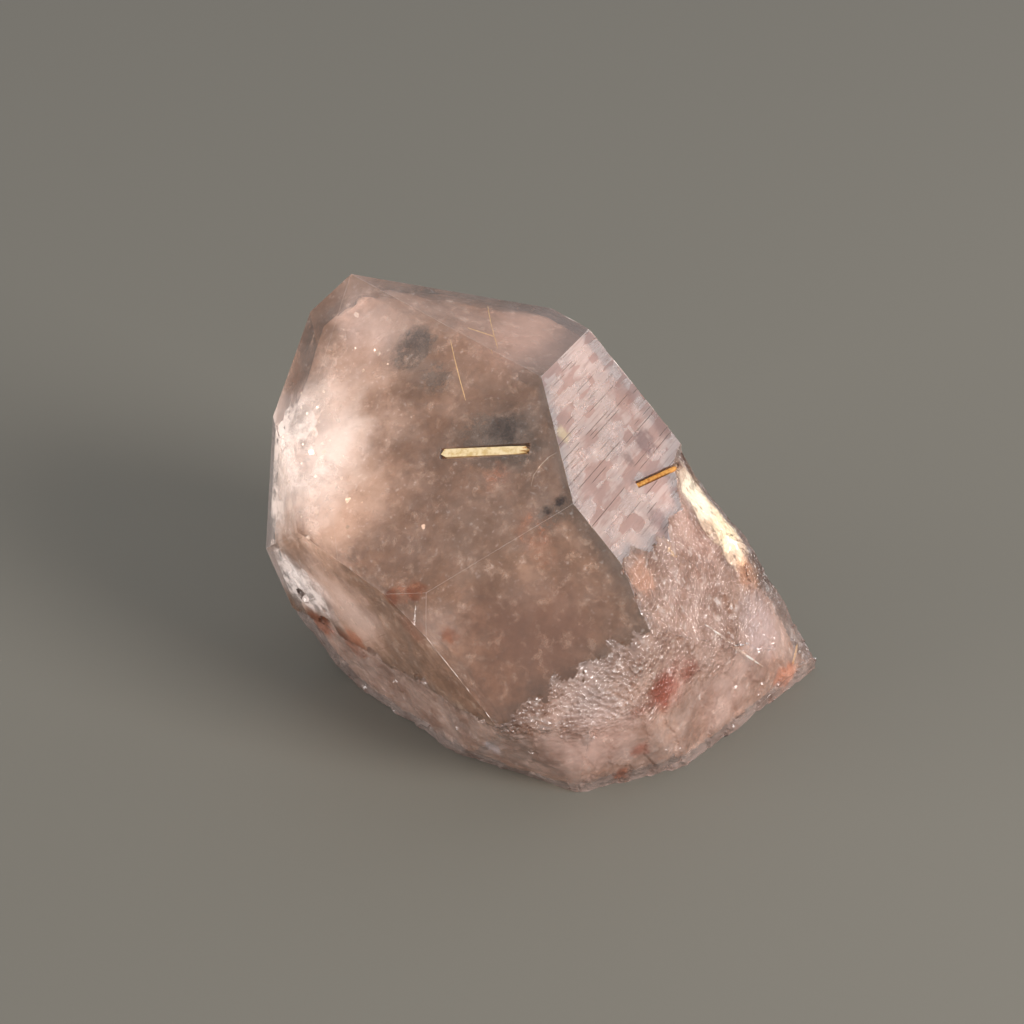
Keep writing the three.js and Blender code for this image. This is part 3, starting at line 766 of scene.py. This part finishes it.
frosted, frosted_tree, frosted_shader = new_material("frosted_break")
frosted_wisps = use_group(frosted_tree, wisps, {"Size mm": 3.0, "Least": 0.4, "Most": 0.65})
frosted_place = add_node(frosted_tree, "ShaderNodeTexCoord").outputs["Object"]
frosted_cells = add_node(frosted_tree, "ShaderNodeTexVoronoi", {
    "Vector": frosted_place, "Scale": 2300.0, "Randomness": 1.0,
})
frosted_grit = add_node(frosted_tree, "ShaderNodeSeparateColor", {0: frosted_cells.outputs["Color"]})
frosted_haze = blend(frosted_tree, frosted_wisps.outputs["Mask"],
                     (0.64, 0.505, 0.455, 1.0), (0.42, 0.295, 0.25, 1.0))
frosted_rise = add_node(frosted_tree, "ShaderNodeSeparateXYZ", {0: frosted_place}).outputs[2]
frosted_low = stretch(frosted_tree, frosted_rise, 0.0065, 0.0095, 0.12, 1.0)
frosted_zone = maths(frosted_tree, "MULTIPLY", frosted_low,
                     stretch(frosted_tree, frosted_wisps.outputs["Tone"], 0.38, 0.58, 0.5, 1.0))
# bright grains are painted glints; other grains are darker at random
frosted_painted_glints = maths(frosted_tree, "MULTIPLY", frosted_zone,
                      stretch(frosted_tree, frosted_grit.outputs[0], 0.86, 1.0))
frosted_dark_grain = maths(frosted_tree, "MULTIPLY", frosted_zone,
                      stretch(frosted_tree, frosted_grit.outputs[1], 0.0, 0.45, 0.5, 0.0))
frosted_dark = blend(frosted_tree, frosted_dark_grain, frosted_haze, (0.29, 0.195, 0.165, 1.0))
frosted_with_painted_glints = blend(frosted_tree, frosted_painted_glints, frosted_dark, (0.95, 0.88, 0.85, 1.0))
frosted_colour = stains_and_painted_light(frosted_tree, frosted_with_painted_glints, (
    # large rust stain and the small ones around it
    ((10.1, -16.2, 10.0), 1.7, 1.6, 0.85, (0.30, 0.085, 0.06, 1.0)),
    ((12.4, -13.4, 10.2), 1.0, 1.2, 0.8, (0.32, 0.10, 0.07, 1.0)),
    ((7.8, -18.5, 9.4), 0.8, 1.0, 0.7, (0.42, 0.18, 0.14, 1.0)),
    ((8.0, -17.0, 4.2), 0.8, 0.9, 0.8, (0.48, 0.17, 0.12, 1.0)),
    ((6.4, -16.9, 1.2), 0.7, 0.7, 0.8, (0.50, 0.19, 0.12, 1.0)),
    # paler grit at the lower left
    ((4.3, -19.3, 11.7), 3.0, 4.0, 0.6, (0.88, 0.78, 0.75, 1.0)),
    # warm patches at the left, at the right corner and beside the chip
    ((8.1, -13.2, 20.3), 1.6, 1.0, 0.8, (0.88, 0.55, 0.42, 1.0)),
    ((22.1, -3.6, 1.8), 1.3, 1.0, 0.85, (0.86, 0.40, 0.28, 1.0)),
    ((18.1, -1.2, 11.5), 1.6, 1.6, 0.75, (0.84, 0.50, 0.34, 1.0)),
    # pearly chip
    ((14.0, 1.0, 18.9), 2.2, 1.6, 0.85, (1.0, 0.96, 0.88, 1.0)),
    ((16.2, 0.0, 15.6), 1.8, 1.4, 0.8, (0.97, 0.88, 0.70, 1.0)),
    ((15.4, 0.6, 17.4), 0.7, 0.6, 0.8, (0.90, 0.98, 0.96, 1.0)),
    # greyer right side
    ((18.9, -4.3, 8.2), 2.8, 2.4, 0.65, (0.62, 0.55, 0.56, 1.0)),
    # rust along the ridge, and the painted highlight on the small chip low on the front
    ((-20.6, -2.4, 6.6), 1.3, 1.0, 0.8, (0.44, 0.16, 0.10, 1.0)),
    ((-17.6, -5.8, 6.8), 1.2, 1.0, 0.7, (0.46, 0.18, 0.11, 1.0)),
    ((-4.9, -16.6, 4.0), 0.9, 0.8, 0.9, (0.96, 0.88, 0.92, 1.0)),
))
frosted_tree.links.new(frosted_colour, frosted_shader.inputs["Base Color"])
frosted_rough = stretch(frosted_tree, frosted_wisps.outputs["Tone"], 0.3, 0.7, 0.08, 0.22)
frosted_tree.links.new(frosted_rough, frosted_shader.inputs["Roughness"])
frosted_height = maths(frosted_tree, "MULTIPLY", frosted_cells.outputs["Distance"], frosted_zone)
feed_bump(frosted_tree, frosted_height, 1.0, 0.00042)
fill_with_quartz(frosted, 0.72)

# edges rubbed pale by wear, with painted highlight: the pale colour and lower transmission make the
# edges read brighter
wear_and_highlight, wear_and_highlight_tree, wear_and_highlight_shader = new_material("wear_and_highlight_edges")
wear_and_highlight_wisps = use_group(wear_and_highlight_tree, wisps, {"Size mm": 0.8, "Least": 0.35, "Most": 0.65})
wear_and_highlight_colour = blend(wear_and_highlight_tree, wear_and_highlight_wisps.outputs["Mask"],
                    (0.80, 0.66, 0.58, 1.0), (0.98, 0.92, 0.88, 1.0))
wear_and_highlight_tree.links.new(wear_and_highlight_colour, wear_and_highlight_shader.inputs["Base Color"])
wear_and_highlight_shader.inputs["Roughness"].default_value = 0.25
fill_with_quartz(wear_and_highlight, 0.4)

for material in (glassy, striped, frosted, wear_and_highlight):
    crystal.data.materials.append(material)
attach(crystal, "root")
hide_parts("quartz_crystal")

# Cloudy layers in the quartz.
# Each older growth stage of the point is marked by a thin cloudy layer of tiny bubbles that
# follows the faces. The innermost is nearly solid; the outer one is only wisps.


# depths in mm are those under the point's faces, the prism faces and the broken faces
def growth_layer(name, depths, finest, waviness, seed):
    point_depth, prism_depth, break_depth = depths
    broken_walls = break_faces + [table_face, left_undercut, chip_wall]
    groups = ((point_faces, point_depth), (prism_faces, prism_depth), (broken_walls, break_depth))
    layer = body_between([
        (normal, level - depth * MM) for faces, depth in groups for normal, level in faces
    ])
    bmesh.ops.triangulate(layer, faces=layer.faces)
    longest = 12.0 * MM
    while longest > finest:
        long_edges = [e for e in layer.edges if e.calc_length() > longest]
        bmesh.ops.subdivide_edges(layer, edges=long_edges, cuts=1)
        bmesh.ops.triangulate(layer, faces=layer.faces)
        longest *= 0.7
    layer.normal_update()
    place = Vector((seed, 0.3 * seed, 0.0))
    for vertex in layer.verts:
        swell = noise.fractal(vertex.co / (4.0 * MM) + place, 1.0, 2.0, 3)
        vertex.co -= vertex.normal * (0.5 + 0.5 * swell) * waviness
    for face in layer.faces:
        face.smooth = True
    return piece_from(name, layer)


def soft_matt(shader):
    shader.inputs["Roughness"].default_value = 0.9
    shader.inputs["Specular IOR Level"].default_value = 0.0


core = growth_layer("cloudy_core", (1.35, 1.0, 0.75), 1.1 * MM, 1.1 * MM, 3.0)
core_material, core_tree, core_shader = new_material("cloudy_core")
core_tone = use_group(core_tree, wisps, {"Size mm": 3.4, "Least": 0.34, "Most": 0.68})
core_brown = blend(core_tree, core_tone.outputs["Mask"],
                   (0.20, 0.115, 0.072, 1.0), (0.40, 0.265, 0.19, 1.0))
core_flecks = use_group(core_tree, wisps, {"Size mm": 0.7, "Least": 0.30, "Most": 0.70})
core_fine = blend(core_tree, maths(core_tree, "MULTIPLY", core_flecks.outputs["Mask"], 0.5),
                  core_brown, (0.13, 0.075, 0.05, 1.0))
core_colour = stains_and_painted_light(core_tree, core_fine, (
    # milky left side and tip: milky bubbles, with painted glow of the light that passes through the
    # crystal
    ((-18.5, 3.5, 22.5), 6.0, 8.0, 0.95, (0.97, 0.88, 0.83, 1.0)),
    ((-16.0, -3.0, 20.5), 3.5, 6.0, 0.8, (0.95, 0.84, 0.77, 1.0)),
    ((-14.0, 9.0, 27.5), 4.0, 6.0, 0.7, (0.90, 0.77, 0.71, 1.0)),
    # paler upper face, chip and tip
    ((-2.0, 7.0, 29.5), 5.0, 7.0, 0.75, (0.66, 0.50, 0.43, 1.0)),
    ((12.0, 0.0, 18.0), 5.0, 7.0, 0.8, (0.62, 0.44, 0.38, 1.0)),
    ((-16.0, 8.0, 30.5), 3.0, 5.0, 0.2, (0.80, 0.60, 0.52, 1.0)),
    # painted reflection and glow on the left face, and the lower left of the large face, milky with
    # painted glow
    ((-17.0, -6.0, 12.5), 4.5, 5.0, 0.9, (0.84, 0.71, 0.65, 1.0)),
    ((-23.3, -0.9, 11.3), 3.0, 3.0, 0.95, (1.0, 0.97, 0.96, 1.0)),
    ((-19.2, -5.5, 20.4), 3.0, 3.5, 0.85, (1.0, 0.86, 0.78, 1.0)),
    # darker middle and top of the large face, and its pale tip, milky with painted glow
    ((-5.4, -11.8, 22.4), 4.0, 4.0, 0.6, (0.17, 0.10, 0.06, 1.0)),
    ((-13.9, 10.3, 32.6), 2.5, 3.0, 0.6, (0.34, 0.24, 0.19, 1.0)),
    ((-18.0, 12.8, 32.4), 2.0, 3.0, 0.8, (0.80, 0.60, 0.50, 1.0)),
    # rusty clouds
    ((-3.0, -6.5, 23.0), 1.4, 2.6, 0.7, (0.46, 0.18, 0.09, 1.0)),
    ((-0.5, -11.0, 21.0), 1.4, 2.6, 0.7, (0.46, 0.17, 0.08, 1.0)),
    # painted shade darkens the front face; the break is greyer, with one red spot
    ((0.0, -15.0, 16.0), 4.0, 4.0, 0.6, (0.22, 0.14, 0.115, 1.0)),
    ((12.0, -9.0, 14.0), 5.0, 6.0, 0.7, (0.34, 0.24, 0.20, 1.0)),
    ((4.0, -17.0, 7.0), 4.0, 5.0, 0.8, (0.56, 0.43, 0.39, 1.0)),
    ((16.0, -9.0, 5.0), 4.0, 5.0, 0.8, (0.40, 0.30, 0.265, 1.0)),
    ((20.0, -3.0, 7.0), 3.0, 4.0, 0.8, (0.45, 0.355, 0.33, 1.0)),
    ((10.0, -13.5, 9.5), 2.0, 3.0, 0.5, (0.50, 0.20, 0.15, 1.0)),
))
core_tree.links.new(core_colour, core_shader.inputs["Base Color"])
soft_matt(core_shader)
core.data.materials.append(core_material)
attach(core, "root")

veil = growth_layer("outer_wisps", (0.9, 0.6, 0.5), 1.3 * MM, 0.35 * MM, 27.0)
veil_material, veil_tree, veil_shader = new_material("outer_wisps")
veil_tone = use_group(veil_tree, wisps, {"Size mm": 1.1, "Least": 0.48, "Most": 0.72})
veil_colour = blend(veil_tree, veil_tone.outputs["Mask"],
                    (0.70, 0.56, 0.48, 1.0), (0.92, 0.84, 0.79, 1.0))
veil_tree.links.new(veil_colour, veil_shader.inputs["Base Color"])
veil_cover = maths(veil_tree, "MULTIPLY", veil_tone.outputs["Mask"], 0.35)
veil_tree.links.new(veil_cover, veil_shader.inputs["Alpha"])
soft_matt(veil_shader)
veil.data.materials.append(veil_material)
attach(veil, "root")

# Milky curtains, dark clouds and rusty clouds.
# Healed cracks inside the quartz hold films of tiny bubbles. Those at the left of the large
# face are milky and catch the light, others hold dark specks or rusty iron oxide, and the one
# under the chip shines like pearl.
CRACK_DEPTH = 0.7 * MM
CHIP_FILM_DEPTH = 0.2 * MM
CRACK_MESH = 0.45
inner_levels = [
    (normal, level - CRACK_DEPTH)
    for normal, level in prism_faces + point_faces + break_faces + [table_face]
]
inner_levels.append((chip_normal, chip_wall[1] - CHIP_FILM_DEPTH))


# a wavy sheet, pushed in wherever it would come nearer to the surface than the inner levels
def healed_crack(shape, centre, facing, width, height, waviness, seed):
    middle = Vector(centre) * MM
    out = Vector(facing).normalized()
    side = out.cross(Vector((0.0, 0.0, 1.0))).normalized()
    up = side.cross(out)
    columns = max(4, round(width / CRACK_MESH))
    rows = max(4, round(height / CRACK_MESH))
    grid = []
    for row in range(rows + 1):
        line = []
        for column in range(columns + 1):
            right = (column / columns - 0.5) * width * MM
            rise = (row / rows - 0.5) * height * MM
            point = middle + side * right + up * rise
            wave = noise.fractal(point / (2.2 * MM) + Vector((seed, 0.0, seed)), 0.9, 2.1, 3)
            point += out * wave * waviness * MM
            for normal, level in inner_levels:
                excess = point.dot(normal) - level
                if excess > 0.0:
                    point -= normal * excess
            line.append(shape.verts.new(point))
        grid.append(line)
    for row in range(rows):
        for column in range(columns):
            face = shape.faces.new((
                grid[row][column], grid[row][column + 1],
                grid[row + 1][column + 1], grid[row + 1][column],
            ))
            face.smooth = True


def crack_piece(name, sheets):
    shape = bmesh.new()
    for seed, sheet in enumerate(sheets):
        healed_crack(shape, *sheet, 3.7 * seed)
    made = piece_from(name, shape)
    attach(made, "root")
    return made


# a film of bubbles or specks that shows only at its spots, broken up by wisps
def crack_material(name, spots, size, least, most, thickness, dark, pale):
    material, tree, shader = new_material(name)
    film = use_group(tree, wisps, {"Size mm": size, "Least": least, "Most": most})
    tree.links.new(blend(tree, film.outputs["Tone"], dark, pale), shader.inputs["Base Color"])
    covered = None
    for centre, radius, fade in spots:
        mask = use_group(tree, patch, {
            "Centre mm": centre, "Radius mm": radius, "Fade mm": fade, "Ragged mm": 0.6 * radius,
            "Grain": 0.9,
        }).outputs["Mask"]
        covered = mask if covered is None else maths(tree, "MAXIMUM", covered, mask)
    solid = maths(tree, "MULTIPLY", maths(tree, "MULTIPLY", film.outputs["Mask"], covered), thickness)
    tree.links.new(solid, shader.inputs["Alpha"])
    soft_matt(shader)
    return material


milky = crack_piece("milky_curtains", (
    ((-19.5, 2.0, 22.5), (0.45, -0.60, 0.66), 11.0, 12.0, 1.4),
    ((-17.5, -3.0, 20.0), (0.40, -0.55, 0.73), 9.0, 10.0, 1.2),
    ((-16.5, 7.5, 27.5), (0.35, -0.60, 0.72), 8.0, 9.0, 1.2),
    ((-21.8, -2.0, 11.6), (-0.69, -0.66, -0.05), 7.0, 6.0, 0.3),
    ((-23.2, 4.5, 22.8), (-0.85, -0.35, 0.35), 7.0, 8.0, 0.5),
    ((-23.4, 0.8, 17.8), (-0.85, -0.42, 0.20), 6.0, 7.0, 0.4),
))
milky.data.materials.append(crack_material(
    "milky_film",
    (
        ((-19.5, 2.0, 22.5), 4.2, 4.0),
        ((-17.5, -3.5, 20.0), 3.4, 3.4),
        ((-16.5, 7.5, 27.5), 3.0, 3.4),
        ((-21.6, -2.4, 11.8), 3.4, 2.4),
        ((-22.6, 4.5, 23.0), 2.8, 2.6),
        ((-22.8, 0.8, 18.0), 2.0, 2.4),
    ),
    1.3, 0.36, 0.60, 0.85, (0.92, 0.82, 0.77, 1.0), (0.99, 0.96, 0.94, 1.0),
))

dark_spots = (
    ((-11.2, 6.4, 31.2), 1.5, 1.3),
    ((-12.2, 5.6, 30.3), 1.2, 1.2),
    ((-9.6, 2.7, 29.8), 1.3, 1.4),
    ((-5.6, -3.2, 27.9), 1.7, 1.3),
    ((-3.4, -4.0, 28.2), 1.9, 1.3),
    ((-2.2, -5.4, 27.8), 1.2, 1.1),
    ((-0.2, -11.7, 25.3), 0.8, 0.6),
    ((1.2, -11.4, 26.1), 0.8, 0.6),
)
dark_clouds = crack_piece("dark_clouds", [
    (centre, (-0.2, -0.6, 0.78), 2.0 * (radius + fade), 2.0 * (radius + fade), 0.3)
    for centre, radius, fade in dark_spots
])
dark_clouds.data.materials.append(crack_material(
    "dark_specks", dark_spots, 0.45, 0.40, 0.56, 0.95, (0.05, 0.04, 0.035, 1.0), (0.16, 0.13, 0.12, 1.0),
))

rusty_spots = (
    ((-4.2, -6.7, 26.0), 1.1, 1.5),
    ((-1.0, -12.0, 24.1), 1.5, 1.5),
    ((-12.3, -13.3, 18.6), 0.8, 0.8),
)
rusty_clouds = crack_piece("rusty_clouds", [
    (centre, (-0.1, -0.7, 0.7), 2.0 * (radius + fade), 2.0 * (radius + fade), 0.4)
    for centre, radius, fade in rusty_spots
])
rusty_clouds.data.materials.append(crack_material(
    "rusty_film", rusty_spots, 0.9, 0.34, 0.66, 0.75, (0.26, 0.08, 0.03, 1.0), (0.54, 0.23, 0.11, 1.0),
))

pearly_spots = (
    ((15.0, 0.9, 16.8), 3.6, 1.2),
    ((13.4, 1.9, 18.8), 2.8, 1.2),
    ((16.9, -0.2, 14.4), 2.4, 1.2),
)
pearly_film = crack_piece("pearly_film", (
    ((15.0, 0.7, 16.8), (0.737, -0.027, 0.675), 6.4, 11.5, 0.25),
))
pearly_film.data.materials.append(crack_material(
    "pearly_film", pearly_spots, 1.2, 0.30, 0.50, 0.95, (0.96, 0.84, 0.52, 1.0), (0.95, 0.99, 0.98, 1.0),
))

# Rutile blade and rod.
# Two larger rutile crystals are grown into the quartz and lie bare in its faces: a flat golden
# blade with pointed ends, and a thicker orange rod with one dark end. Both have a half
# metallic lustre with darker mottling.
for node_name, gold, dark, roughness, ends in (
    ("rutile_blade", (0.88, 0.70, 0.42, 1.0), (0.66, 0.46, 0.20, 1.0), 0.30, ()),
    ("rutile_rod", (0.85, 0.45, 0.12, 1.0), (0.50, 0.18, 0.04, 1.0), 0.22,
     (((7.8, -4.5, 23.3), 0.3, 0.3, 0.9, (0.16, 0.02, 0.015, 1.0)),)),
):
    rutile_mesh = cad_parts[node_name].data.copy()
    rutile_mesh.materials.clear()
    rutile = bpy.data.objects.new(node_name + "_crystal", rutile_mesh)
    bpy.context.collection.objects.link(rutile)
    rutile_material, rutile_tree, rutile_shader = new_material(node_name)
    rutile_wisps = use_group(rutile_tree, wisps, {"Size mm": 0.5, "Least": 0.4, "Most": 0.65})
    rutile_colour = blend(rutile_tree, rutile_wisps.outputs["Mask"], gold, dark)
    rutile_colour = stains_and_painted_light(rutile_tree, rutile_colour, ends)
    rutile_tree.links.new(rutile_colour, rutile_shader.inputs["Base Color"])
    rutile_shader.inputs["Metallic"].default_value = 0.3
    rutile_shader.inputs["Roughness"].default_value = roughness
    rutile_mesh.materials.append(rutile_material)
    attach(rutile, "root")
    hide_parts(node_name)

# Fine needles and glinting flakes.
# Thin golden rutile hairs cross the upper part of the point. Two healed cracks show as pale
# lines, one at the edge of the large face and one in the break, and tiny flat bubbles in the
# milky part glint white.


# a six-sided hair that thins at both ends
def add_needle(shape, points, radius):
    sides = 6
    rings = []
    for index, point in enumerate(points):
        before = points[max(index - 1, 0)]
        after = points[min(index + 1, len(points) - 1)]
        along = (after - before).normalized()
        side = along.orthogonal().normalized()
        up = along.cross(side)
        size = radius * (0.35 if index in (0, len(points) - 1) else 1.0)
        rings.append([
            shape.verts.new(point + (side * math.cos(a) + up * math.sin(a)) * size)
            for a in (2.0 * math.pi * k / sides for k in range(sides))
        ])
    for lower, upper in zip(rings, rings[1:]):
        for k in range(sides):
            shape.faces.new((lower[k], lower[(k + 1) % sides], upper[(k + 1) % sides], upper[k]))
    shape.faces.new(list(reversed(rings[0])))
    shape.faces.new(rings[-1])


# a hair between two ends in mm, bowed sideways by up to the bow in mm
def needle_points(ends, bow):
    first, last = (Vector(end) * MM for end in ends)
    sag = (last - first).cross(Vector((0.3, 0.5, 0.8))).normalized() * bow * MM
    return [
        first.lerp(last, part) + sag * math.sin(math.pi * part)
        for part in (0.0, 0.1, 0.35, 0.65, 0.9, 1.0)
    ]


needle_material, needle_tree, needle_shader = new_material("golden_hairs")
needle_wisps = use_group(needle_tree, wisps, {"Size mm": 0.8, "Least": 0.4, "Most": 0.65})
needle_colour = blend(needle_tree, needle_wisps.outputs["Mask"],
                      (0.92, 0.74, 0.34, 1.0), (0.72, 0.48, 0.16, 1.0))
needle_tree.links.new(needle_colour, needle_shader.inputs["Base Color"])
needle_shader.inputs["Metallic"].default_value = 0.3
needle_shader.inputs["Roughness"].default_value = 0.3
needle_shape = bmesh.new()
for ends, bow, radius in (
    (((-7.1, 6.6, 32.3), (-4.7, 5.6, 32.0)), 0.0, 0.07),
    (((-5.4, 11.4, 31.7), (-4.5, 3.9, 31.4)), 0.1, 0.05),
    (((-8.4, 5.3, 32.2), (-7.0, -0.2, 29.4)), 0.1, 0.045),
    (((10.2, -7.5, 19.2), (10.9, -7.8, 18.2)), 0.0, 0.09),
    (((23.3, -0.6, 3.0), (22.7, -3.0, 2.6)), 0.0, 0.14),
):
    add_needle(needle_shape, needle_points(ends, bow), radius * MM)
needles = piece_from("fine_needles", needle_shape)
needles.data.materials.append(needle_material)
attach(needles, "root")

pale_material, pale_tree, pale_shader = new_material("pale_glints")
pale_wisps = use_group(pale_tree, wisps, {"Size mm": 0.8, "Least": 0.4, "Most": 0.65})
pale_colour = blend(pale_tree, pale_wisps.outputs["Mask"],
                    (0.96, 0.93, 0.88, 1.0), (0.94, 0.86, 0.74, 1.0))
pale_tree.links.new(pale_colour, pale_shader.inputs["Base Color"])
pale_shader.inputs["Roughness"].default_value = 0.22
pale_shader.inputs["Metallic"].default_value = 0.5
pale_shape = bmesh.new()
add_needle(pale_shape, [Vector(p) * MM for p in (
    (-1.4, -9.0, 26.5), (-1.2, -8.4, 27.2), (-0.6, -7.7, 27.7), (0.1, -7.3, 28.3), (0.8, -7.1, 28.6),
)], 0.05 * MM)
add_needle(pale_shape, [Vector(p) * MM for p in (
    (13.8, -10.3, 12.8), (15.2, -9.3, 10.9), (16.7, -8.4, 8.8), (18.2, -7.2, 6.7), (19.7, -5.9, 4.6),
)], 0.13 * MM)
dice = random.Random(7)
towards_window = Vector((0.40, -0.66, 0.60))
FULL_TURN = 6.28
FIFTH_TURN = 1.2566
# each cluster of flakes: centre and spread in mm, and how many
for centre, spread, count in (
    ((-20.5, 2.0, 23.5), 4.0, 110),
    ((-18.5, -3.5, 19.5), 3.5, 70),
    ((-14.0, -6.5, 20.0), 4.0, 12),
    ((-15.5, 8.0, 29.5), 3.0, 30),
):
    for _ in range(count):
        spot = Vector(centre) + Vector([dice.gauss(0.0, 0.5) * spread for _ in range(3)])
        spot *= MM
        for normal, level in inner_levels:
            excess = spot.dot(normal) - level
            if excess > 0.0:
                spot -= normal * excess
        facing = towards_window + Vector([dice.gauss(0.0, 0.2) for _ in range(3)])
        facing.normalize()
        side = facing.orthogonal().normalized()
        up = facing.cross(side)
        turn = dice.uniform(0.0, FULL_TURN)
        size = dice.uniform(0.04, 0.12) * MM / dice.uniform(0.30, 1.0)
        corners = []
        for k in range(5):
            angle = turn + FIFTH_TURN * k
            length = size * dice.uniform(0.5, 1.3)
            corner = spot + (side * math.cos(angle) + up * math.sin(angle)) * length
            corners.append(pale_shape.verts.new(corner))
        pale_shape.faces.new(corners)
glints = piece_from("pale_glints", pale_shape)
glints.data.materials.append(pale_material)
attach(glints, "root")
